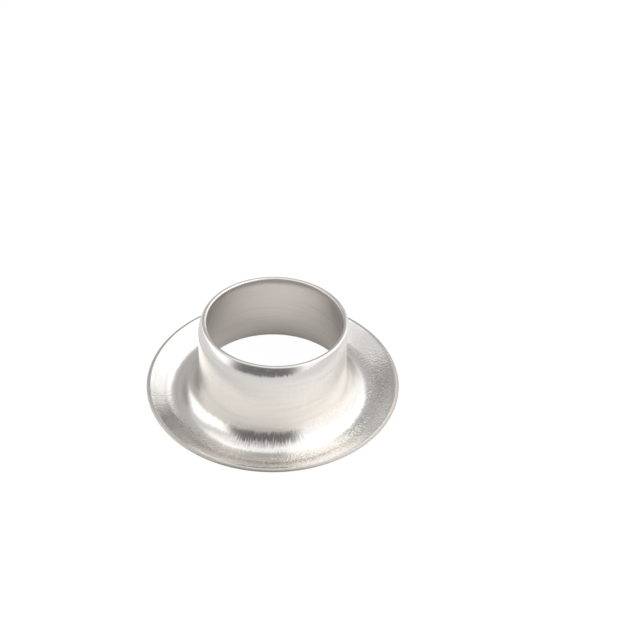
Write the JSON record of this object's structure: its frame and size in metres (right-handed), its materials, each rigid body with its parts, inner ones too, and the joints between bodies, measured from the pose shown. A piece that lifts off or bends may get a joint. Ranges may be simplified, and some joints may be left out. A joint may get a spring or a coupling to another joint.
{
  "type": "eyelet",
  "caption": "Round sheet-metal eyelet: a straight hollow barrel with a slightly turned-in lip, standing on a wide flange shaped as a gutter with a raised rim.",
  "frame": {"origin": "centre of the flange's lowest ring, on the surface that the eyelet stands on", "axes": "+Z along the barrel, from the flange towards the lip; the eyelet looks the same all round, so +X and +Y are free"},
  "size_m": [0.022, 0.022, 0.0084],
  "materials": {
    "nickel_plate": "satin nickel plate on drawn sheet steel, with fine draw lines"
  },
  "bodies": {
    "root": {"eyelet": "nickel_plate"}
  },
  "joints": []
}
